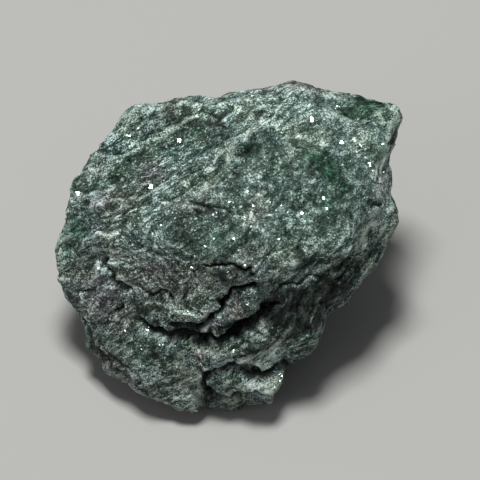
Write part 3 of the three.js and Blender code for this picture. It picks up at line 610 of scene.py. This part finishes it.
def zone(points, bells, seed):
    """The sum of bells on the seen side, and slow noise on the hidden one, with a frayed edge."""
    x = points[:, 0] + 0.5 * unevenness(points, 3.0, seed)
    y = points[:, 1] + 0.5 * unevenness(points, 3.4, seed + 1)
    seen = seen_side(points, 4, 6)
    total = sum(hollow_depth(x, y, at, high, long, wide, turn) for *at, long, wide, turn, high in bells)
    hidden = 0.5 * ease(0.5 + 0.6 * unevenness(points, 14, seed + 2))
    return np.clip(seen * total + (1 - seen) * hidden, 0, 2)


def pale_and_lit_edges(points):
    """The sum of the pale lines, partly pale sheet edges and partly painted highlight, a little frayed.
    """
    x = points[:, 0] + 0.2 * unevenness(points, 2.2, 51.0)
    y = points[:, 1] + 0.2 * unevenness(points, 2.4, 52.0)
    return sum(line_depth(x, y, *edge) for edge in PALE_AND_LIT_EDGES) * seen_side(points, 3, 4)


pale_and_lit_lines = pale_and_lit_edges(surface)
for seed, (name, bells) in enumerate(ZONES.items()):
    amount = zone(surface, bells, 21.0 + 3 * seed)
    # the pale lines add to the pale zone, and the painted shade gives way along them
    if name == "pale_and_painted_light":
        amount = amount + pale_and_lit_lines
    if name == "painted_shade":
        amount = painted_shade = amount * (1 - np.clip(pale_and_lit_lines, 0, 1))
    keep(stone, name, amount)
    print(name, "covers", round(100 * float(amount.mean())), "% of the stone")

# %% [markdown]
# Worn edges, and painted shade in hollows and cracks
# Handling rubs the edges that stand out, so they are a little paler, while points that sink below
# their surroundings are painted darker, as painted shade, and cracks get painted shade as well.
# An edge is found by smoothing the whole surface: a point that lies outside the smoothed one stands
# out. Few rounds of smoothing find the edges of thin sheets, and many find those of the large forms.


# %% Edges that stand out
def smoothed(values, rounds):
    """Every value becomes half itself and half the mean of its neighbours' over the mesh's edges."""
    ends = np.concatenate([squares, np.roll(squares, -1, 1)]).reshape(2, -1)
    count = np.bincount(ends[0], minlength=len(values)) + np.bincount(ends[1], minlength=len(values))
    for _ in range(rounds):
        around = [
            np.bincount(ends[0], values[ends[1], k], len(values))
            + np.bincount(ends[1], values[ends[0], k], len(values))
            for k in range(values.shape[1])
        ]
        values = 0.5 * values + 0.5 * np.stack(around, 1) / count[:, None]
    return values


def standing_out(points, rounds, full):
    """How far each point stands out of its smoothed surroundings, as a share of `full` mm."""
    return np.clip(((points - smoothed(points, rounds)) * out_of_stone).sum(1) / full, -1, 1)


normals = np.empty(len(rays) * 3, np.float32)
stone.data.vertices.foreach_get("normal", normals)
normals = normals.reshape(-1, 3).astype(float)
out_of_stone = unit(smoothed(normals @ TO_LEANING.T, 12))
# painted: a point that stands out of its surroundings is paler, as worn, and one that sinks below them is
# darker, as painted shade
keep(stone, "fine_wear_and_shade", standing_out(surface, 4, 0.06))
keep(stone, "broad_wear_and_shade", standing_out(surface, 60, 0.45))


# %% Cracks and the run of the sheets
OPEN = ("crack", "notch", "ledge", "groove")  # lines that are open, so painted shade is put inside them
DARK_FROM, DARK_OVER = 0.65, 0.8  # mm of depth at which painted shade starts in a crack, and until it is darkest
CLEAR_BUMP = ((5.3, -13.3), 1, 1.8, 0.9, 50)  # the bump below the lower crack stays light
SLAB = (10, 9, 15, 10, 25, 1.5)


def crack_darkness():
    """Painted shade in the cracks: drawn depth of the open lines, less the depth at which dark starts,
    over the depth it takes.
    """
    block = rays * block_reach(rays)[:, None]
    x, y = wandered(block, wobble=0.08)
    depth = sum(line_depth(x, y, *line) for name, line in LINES.items() if name.endswith(OPEN))
    depth += hollow_depth(x, y, *HOLLOWS[0])
    depth += 0.25 * line_depth(x, y - 0.8, *LINES["lower crack"])  # its lip's shadow
    return np.clip((depth - DARK_FROM) / DARK_OVER, 0, 1) * seen_side(block, 3, 4)


# painted shade in the cracks, kept off the pale lines and the light bump
clear = pale_and_lit_lines + hollow_depth(surface[:, 0], surface[:, 1], *CLEAR_BUMP)
painted_crack_shade = crack_darkness() * (1 - np.clip(clear, 0, 1))
keel = along_keel(surface)
keep(stone, "painted_crack_shade", painted_crack_shade)
keep(stone, "slab", np.clip(zone(surface, [SLAB], 41.0), 0, 1) * seen_side(surface, 4, 6))
keep(stone, "flank", on_flank(surface))
keep(stone, "flank_run", flank_run(surface))
keep(stone, "sheet_run", np.stack([keel[:, 0] * 0.3, keel[:, 1] * 0.7, sheet_depth(surface)], 1))
print("dark inside cracks:", int((painted_crack_shade > 0.5).sum()), "points")

# %% [markdown]
# The schist's finish
# Close up, the rock is grains of a third of a millimetre with dust and felted fibres between them:
# black-green, mid green, sage and a few nearly white. Each of these patterns gives a number, and
# their sum picks the colour on a ramp. Streaks follow the sheets, the slab has soft spots instead,
# and thin lines stand for cracks as fine as hair. The zones add to the sum or tint the colour: the
# pale zone, the worn edges and the pale lines lift it, partly as painted light, and the painted
# shade darkens it. The grains' own numbers also set their gloss and tilt them, so here and there
# one mirrors the lamp.


# %% Helpers for nodes
def new_material(name):
    """A material with an empty node tree, its shader and a maker of nodes."""
    material = bpy.data.materials.new(name)
    material.use_nodes = True
    tree = material.node_tree
    shader = tree.nodes["Principled BSDF"]

    def node(kind, **settings):
        """Makes a node. A setting is a property, or an input given as in_NAME or by number."""
        made = tree.nodes.new("ShaderNode" + kind)
        for key, value in settings.items():
            if not key.startswith("in_"):
                setattr(made, key, value)
                continue
            key = key[3:].replace("_", " ")
            socket = made.inputs[int(key)] if key.isdigit() else made.inputs[key]
            if isinstance(value, bpy.types.NodeSocket):
                tree.links.new(value, socket)
            else:
                socket.default_value = value
        return made

    return material, tree, shader, node


def ramp(node, factor, stops):
    """A colour ramp with (place, colour) stops. One number instead of a colour is a grey."""
    made = node("ValToRGB", in_Fac=factor)
    elements = made.color_ramp.elements
    while len(elements) < len(stops):
        elements.new(0.5)
    for element, (place, colour) in zip(elements, stops):
        element.position = place
        element.color = (*np.broadcast_to(colour, 3), 1)
    return made.outputs["Color"]


def blend(node, amount, first, second, how="MIX"):
    """Mixes two colours by an amount, which the node keeps from 0 to 1."""
    made = node("Mix", data_type="RGBA", blend_type=how, in_0=amount, in_6=first, in_7=second)
    return made.outputs[2]


def sums(node, how, first, second=0.0, third=0.0):
    """One step of arithmetic."""
    return node("Math", operation=how, in_0=first, in_1=second, in_2=third).outputs[0]


def amount_of(node, name):
    """A number kept on the points."""
    return node("Attribute", attribute_name=name).outputs["Fac"]


def channel(node, colour, which):
    """One of the three numbers of a colour."""
    return node("SeparateColor", in_Color=colour).outputs[which]


# %% Patterns
GRAIN, DUST = 0.36, 0.17  # mm
PER_MM = 1 / MM  # scale of a pattern on places in metres, for one cloud to the millimetre
LINE_WIDTH = 0.04  # of a thin line, as a difference in its pattern


def noise(node, vector, scale, detail, roughness=0.5, distortion=0.0):
    """Cloudy numbers around one half, with `scale` clouds to each unit of the vector."""
    made = node("TexNoise", in_Vector=vector, in_Scale=scale, in_Detail=detail)
    made.inputs["Roughness"].default_value = roughness
    made.inputs["Distortion"].default_value = distortion
    return made.outputs["Fac"]


def cells(node, vector, scale):
    """Round cells, each with a random colour, whose three numbers are used one by one."""
    return node("TexVoronoi", in_Vector=vector, in_Scale=scale).outputs["Color"]


def thin_lines(node, pattern):
    """1 where a pattern passes one half, 0 where it is LINE_WIDTH away: a ramp of |pattern - 0.5|."""
    away = sums(node, "ABSOLUTE", sums(node, "SUBTRACT", pattern, 0.5))
    return ramp(node, away, [(0.0, 1.0), (LINE_WIDTH, 0.0)])


schist, tree, shader, node = new_material("fuchsite_schist")
place = node("TexCoord").outputs["Object"]
sheet_run = node("Attribute", attribute_name="sheet_run").outputs["Vector"]
along_flank = node("Attribute", attribute_name="flank_run").outputs["Vector"]
on_slab = amount_of(node, "slab")
off_slab = sums(node, "SUBTRACT", 1.0, on_slab)
flank_side = amount_of(node, "flank")
only_flank = sums(node, "MULTIPLY", sums(node, "MULTIPLY", flank_side, off_slab), off_slab)
mostly_off_slab = sums(node, "MULTIPLY_ADD", on_slab, -0.58, 1.0)

grains = blend(node, on_slab, cells(node, sheet_run, 1 / GRAIN), cells(node, place, PER_MM / GRAIN))
grain_chance = channel(node, grains, 0)
dust = channel(node, cells(node, place, PER_MM / DUST), 0)
felt = noise(node, place, PER_MM / 0.55, 4, 0.8, 2)
clouds = noise(node, place, PER_MM * 0.22, 4, 0.6)
sheet_streaks = noise(node, sheet_run, 1.1, 6, 0.7)
slab_flecks = noise(node, place, PER_MM * 0.9, 5, 0.65)
streaks = blend(node, on_slab, sheet_streaks, slab_flecks)
streaks = blend(node, flank_side, streaks, noise(node, along_flank, 1.3, 6, 0.75))
streaks = ramp(node, channel(node, streaks, 0), [(0.38, 0.0), (0.62, 1.0)])
slab_spots = ramp(node, noise(node, place, PER_MM / 2.4, 3, 0.6, 0.6), [(0.40, 0.0), (0.60, 1.0)])
slab_spots = sums(node, "MULTIPLY", sums(node, "SUBTRACT", slab_spots, 0.5), on_slab)
speckle = sums(node, "SUBTRACT", noise(node, place, PER_MM / 0.24, 1, 0.5, 1), 0.5)
speckle = sums(node, "MULTIPLY", speckle, mostly_off_slab)
hair_cracks = thin_lines(node, noise(node, sheet_run, 0.8, 3, 0.6, 1.2))
hair_cracks = sums(node, "MULTIPLY", hair_cracks, mostly_off_slab)
flank_fibres = thin_lines(node, noise(node, along_flank, 0.8, 2, 0.5, 0.3))
flank_fibres = sums(node, "MULTIPLY", flank_fibres, only_flank)

# %% The sum that picks the colour
PICK_SHARES = [
    (grain_chance, 0.26),
    (dust, 0.34),
    (felt, 1.9),
    (streaks, 0.46),
    (clouds, 0.85),
    (slab_spots, 0.2),
    (speckle, 1.6),
    (hair_cracks, -0.45),
    (flank_fibres, 0.36),
    # edges are paler where worn and darker where sunken, as painted shade; the pale zone is partly
    # painted light
    (amount_of(node, "fine_wear_and_shade"), 0.10),
    (amount_of(node, "broad_wear_and_shade"), 0.16),
    (amount_of(node, "pale_and_painted_light"), 0.30),
    (amount_of(node, "deep_green"), -0.05),
]
pick = -1.413  # a larger start makes the whole stone paler
for source, share in PICK_SHARES:
    pick = sums(node, "MULTIPLY_ADD", source, share, pick)

# %% Colours of the schist
GREEN_GRAINS = [
    (0.0, (0.004, 0.012, 0.009)),
    (0.30, (0.0195, 0.038, 0.0305)),
    (0.58, (0.075, 0.113, 0.0955)),
    (0.80, (0.20, 0.275, 0.24)),
    (1.0, (0.52, 0.62, 0.57)),
]
MAUVE_GRAINS = [
    (0.0, (0.010, 0.0095, 0.0095)),
    (0.30, (0.041, 0.037, 0.039)),
    (0.58, (0.103, 0.097, 0.100)),
    (0.80, (0.235, 0.225, 0.228)),
    (1.0, (0.51, 0.52, 0.51)),
]
BROWN_GRAINS = [(0.0, (0.012, 0.010, 0.007)), (0.5, (0.085, 0.077, 0.058)), (1.0, (0.34, 0.33, 0.27))]
BLUISH_TO_WARM = [(0.36, (0.93, 0.98, 1.03)), (0.5, 1.0), (0.64, (1.04, 1.0, 0.92))]

green = ramp(node, pick, GREEN_GRAINS)
colour = blend(node, amount_of(node, "mauve"), green, ramp(node, pick, MAUVE_GRAINS))
brown_share = sums(node, "MULTIPLY", amount_of(node, "brown"), 0.7)
colour = blend(node, brown_share, colour, ramp(node, pick, BROWN_GRAINS))
painted_shade_level = amount_of(node, "painted_shade")
# painted shade, deeper painted shade where its bells overlap, and painted shade in cracks darken the
# colour; deep green and the hue tint it
for amount, tint in (
    (amount_of(node, "deep_green"), (0.18, 0.35, 0.26, 1)),
    (painted_shade_level, (0.125, 0.14, 0.125, 1)),
    (sums(node, "SUBTRACT", painted_shade_level, 1.0), (0.35, 0.35, 0.35, 1)),  # where two painted shade bells lie on each other, darker still
    (amount_of(node, "painted_crack_shade"), (0.10, 0.10, 0.10, 1)),
    (1.0, ramp(node, noise(node, place, PER_MM / 5, 3, 0.65), BLUISH_TO_WARM)),
):
    colour = blend(node, amount, colour, tint, "MULTIPLY")
tree.links.new(colour, shader.inputs["Base Color"])

# %% Glitter and grain of the schist
gloss = ramp(node, channel(node, grains, 1), [(0.0, 0.30), (0.5, 0.55), (1.0, 0.75)])
tree.links.new(gloss, shader.inputs["Roughness"])
mica_share = ramp(node, channel(node, grains, 2), [(0.55, 0.0), (0.75, 0.55), (1.0, 0.8)])
tree.links.new(mica_share, shader.inputs["Metallic"])
shader.inputs["IOR"].default_value = 1.5
shader.inputs["Specular IOR Level"].default_value = 0.2
felted = node("Bump", in_Strength=0.8, in_Distance=0.2 * MM, in_Height=felt).outputs["Normal"]
grained = node("Bump", in_Strength=0.5, in_Distance=0.12 * MM, in_Height=grain_chance, in_Normal=felted)
tilt = node("VectorMath", operation="MULTIPLY_ADD", in_0=grains, in_1=(0.6,) * 3, in_2=(-0.3,) * 3)
tilted = node("VectorMath", operation="ADD", in_0=grained.outputs["Normal"], in_1=tilt.outputs["Vector"])
facing = node("VectorMath", operation="NORMALIZE", in_0=tilted.outputs["Vector"])
tree.links.new(facing.outputs["Vector"], shader.inputs["Normal"])

stone.data.materials.append(schist)
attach(stone, "root")
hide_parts("fuchsite_stone")

# %% [markdown]
# Loose flakes of mica
# The brightest sparks on the stone are flakes of up to a millimetre, alone or in groups of up to two
# millimetres. Each is a thin plate with six uneven corners, lying nearly flat on the surface or a
# little askew. The groups stand where the stone shows them, turned half way between eye and lamp.

# %% Light and eye, which the largest flakes need to know
LAMP_WAY = upright(np.array([-0.06, 0.62, 0.78]))
EYE_WAY = upright(np.array([0, 0, 1.0]))
GLINTS = [  # place on the seen side, length and width of the group, mm
    ((-12.7, 10.4), 1.3, 0.9), ((-8.1, 18.3), 0.7, 0.7), ((-16.7, 19.2), 1.3, 0.5),
    ((14, 21.9), 1.1, 0.8), ((18.5, 24.1), 1.9, 0.4), ((19, 18), 1.2, 0.6), ((21.2, 18.5), 0.5, 0.4),
    ((22.3, 17.5), 0.4, 0.4), ((16.8, 20.8), 1.5, 0.2), ((8.8, 19.8), 2, 0.2),
    ((13.7, 24.2), 0.4, 0.3), ((4.3, 25.9), 1, 0.3), ((26, 17.7), 0.6, 0.4), ((23.8, 14.4), 0.6, 0.6),
    ((24.3, 13.2), 0.3, 0.3), ((26.3, 13.2), 0.3, 0.3), ((7.1, 8), 0.4, 0.3), ((7.8, 12.8), 0.2, 0.2),
    ((3.3, 9.8), 0.4, 0.3), ((12.4, 6), 0.8, 0.5), ((10, 6.3), 0.3, 0.3), ((16, 8.7), 0.6, 0.5),
    ((16.6, 7), 0.4, 0.4), ((8.5, 1.9), 0.4, 0.4), ((16.8, 2.7), 0.2, 0.2), ((1, 1.8), 0.4, 0.4),
    ((-25.3, 9.5), 0.8, 0.6), ((-21.6, 7.9), 0.2, 0.2), ((-16.7, 10.4), 0.2, 0.2),
    ((-1.5, 12.7), 0.2, 0.2), ((-3.8, 0.6), 0.3, 0.3), ((-6, -2.9), 0.9, 0.3), ((-22, -3), 0.5, 0.4),
    ((-6.5, -10.5), 1.1, 0.3), ((-13.5, -13.3), 0.5, 0.4), ((-11.2, -15.9), 1.8, 0.3),
    ((-9, -16.2), 0.2, 0.2), ((0.9, -17.1), 0.3, 0.3), ((9.2, -21.3), 1.1, 0.5),
    ((7.7, -23.3), 0.6, 0.3), ((8.7, -21), 0.8, 0.3), ((8.9, -22.1), 0.7, 0.4),
]

# %% Flakes
FLAKES = 2200
SHARDS = 4  # plates in one group of the brightest
CORNERS = 6
LOWEST_FLAKE = 0.3 * MM
rng = np.random.default_rng(11)
row_points = to_row(surface)


def nearest_seen(place):
    """The point of the mesh nearest to a place, where a hidden point counts as very far away."""
    hidden = np.where(surface[:, 2] > 0, 0, 100)
    return int(np.argmin(np.hypot(surface[:, 0] - place[0], surface[:, 1] - place[1]) + hidden))


def flake_plates(middles, facings, sizes, rng):
    """Corner j of a plate: middle + size * (cos a_j, sin a_j) * uneven, once at each face."""
    count = len(middles)
    side = unit(np.cross(facings, unit(rng.normal(size=(count, 3)))))
    over = np.cross(facings, side)
    turn = (np.arange(CORNERS) + rng.uniform(-0.25, 0.25, (count, CORNERS))) * 2 * np.pi / CORNERS
    far = sizes[:, None] / 2 * rng.uniform(0.6, 1.1, (count, CORNERS))
    lengthen = rng.uniform(0.3, 0.9, count)[:, None]
    rim = (far * np.cos(turn))[..., None] * side[:, None]
    rim = rim + (far * lengthen * np.sin(turn))[..., None] * over[:, None]
    thick = np.clip(sizes * 0.06, 0.02 * MM, 0.06 * MM)[:, None, None] * facings[:, None]
    corners = np.concatenate([middles[:, None] + rim + thick, middles[:, None] + rim - thick], 1)
    return corners.reshape(-1, 3)


def plate_faces(count):
    """Top, bottom and six sides of every plate."""
    top = np.arange(CORNERS)
    sides = [[i, i + CORNERS, (i + 1) % CORNERS + CORNERS, (i + 1) % CORNERS] for i in range(CORNERS)]
    one = [top.tolist(), (top[::-1] + CORNERS).tolist(), *sides]
    return [[corner + 2 * CORNERS * k for corner in face] for k in range(count) for face in one]


openness = np.where(painted_crack_shade > 0.1, 0, 1.0)  # no loose flake in a crack, and few where shade is painted
openness = openness * (1 - 0.95 * np.clip(painted_shade.astype(np.float32), 0, 1)) * (1 - 0.8 * on_flank(surface))
strewn = rng.choice(len(rays), FLAKES, replace=False, p=openness / openness.sum())
scatter = rng.uniform(-0.28, 0.28, (len(GLINTS), SHARDS, 2))
grouped = np.array(
    [
        nearest_seen(np.array(place) + offset * (long, wide))
        for (place, long, wide), offsets in zip(GLINTS, scatter)
        for offset in offsets
    ]
)
group_width = np.repeat([wide for _, _, wide in GLINTS], SHARDS)
shard_sizes = (0.04 + 0.85 * group_width) * rng.uniform(0.5, 1, len(grouped))
sizes = np.concatenate([np.clip(rng.lognormal(-0.95, 0.35, FLAKES), 0.2, 1.1), shard_sizes]) * MM
homes = np.concatenate([strewn, grouped])
facings = unit(normals[homes] + 0.32 * rng.normal(size=(len(homes), 3)))
facings[FLAKES:] = unit(unit(LAMP_WAY + EYE_WAY) + 0.05 * rng.normal(size=(len(grouped), 3)))
middles = row_points[homes] + normals[homes] * (sizes * 0.06)[:, None]
shift = rng.normal(size=(len(homes), 3)) * 0.12 * MM
shift[FLAKES:] = facings[FLAKES:] * 0.12 * MM
middles += shift
middles[:, 2] = np.maximum(middles[:, 2], LOWEST_FLAKE)
flakes = mesh_object("mica_flakes", flake_plates(middles, facings, sizes, rng), plate_faces(len(homes)))
brightness = np.concatenate([rng.uniform(0, 0.9, FLAKES) ** 1.5, np.minimum(0.3 + group_width, 1)])
keep(flakes, "brightness", np.repeat(brightness, 2 * CORNERS))
print("flakes:", len(homes), "with", len(homes) * 20, "triangles")

# %% Mica
mica, tree, shader, node = new_material("silvery_green_mica")
bright = amount_of(node, "brightness")
MICA_TINTS = [(0.0, (0.03, 0.06, 0.045)), (0.6, (0.17, 0.24, 0.21)), (1.0, (0.68, 0.74, 0.72))]
tree.links.new(ramp(node, bright, MICA_TINTS), shader.inputs["Base Color"])
tree.links.new(ramp(node, bright, [(0.3, 0.40), (1.0, 0.25)]), shader.inputs["Roughness"])
shader.inputs["Metallic"].default_value = 0.7
flakes.data.materials.append(mica)
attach(flakes, "root")

# %% [markdown]
# Floor, lamp and camera
# One soft lamp, almost straight above the stone, gives the shaded ledges and the glitter. A weak
# broad one from the left and a weak sky fill the shadows. The camera is far away with a long lens,
# so the stone is seen almost without perspective, from 55 degrees above the floor.

# %% Floor
floor = mesh_object("floor", [(-3, -3, 0), (3, -3, 0), (3, 3, 0), (-3, 3, 0)], [(0, 1, 2, 3)])
paper, tree, shader, node = new_material("pale_paper")
shader.inputs["Base Color"].default_value = (0.245, 0.243, 0.232, 1)
shader.inputs["Roughness"].default_value = 0.9
floor.data.materials.append(paper)

# %% Lamps
stone_middle = Vector(to_row(np.zeros((1, 3)))[0])


def area_lamp(name, way, distance, size, power):
    """A square lamp that looks at the stone's middle from a direction."""
    lamp = bpy.data.lights.new(name, "AREA")
    lamp.size, lamp.energy = size, power
    thing = bpy.data.objects.new(name, lamp)
    thing.location = stone_middle + Vector(way) * distance
    thing.rotation_euler = Vector(way).to_track_quat("Z", "Y").to_euler()
    bpy.context.scene.collection.objects.link(thing)
    return lamp


area_lamp("key_lamp", LAMP_WAY, 0.7, 0.16, 8.8)
area_lamp("fill_lamp", unit(np.array([-0.7, -0.5, 0.6])), 0.9, 0.6, 1)
sky = bpy.data.worlds.new("sky")
sky.use_nodes = True
sky.node_tree.nodes["Background"].inputs["Color"].default_value = (0.93, 0.96, 1.0, 1)
sky.node_tree.nodes["Background"].inputs["Strength"].default_value = 0.25
bpy.context.scene.world = sky

# %% Camera
PIXEL = 0.17  # mm of the stone in one pixel of the photograph
FRAME_WIDTH = 480 * PIXEL * MM
AIM = np.array([[12 * PIXEL, 10 * PIXEL, 0]])  # mm from the stone's centre to the frame's centre
FAR = 1.0
SENSOR = 36  # mm
camera = bpy.data.cameras.new("camera")
camera.sensor_width = SENSOR
camera.lens = SENSOR * FAR / FRAME_WIDTH
camera.clip_start, camera.clip_end = 0.05, 20
eye = bpy.data.objects.new("camera", camera)
eye.location = Vector(to_row(AIM)[0]) + Vector(EYE_WAY) * FAR
eye.rotation_euler = Vector(EYE_WAY).to_track_quat("Z", "Y").to_euler()
bpy.context.scene.collection.objects.link(eye)
bpy.context.scene.camera = eye
bpy.context.scene.view_settings.view_transform = "Standard"
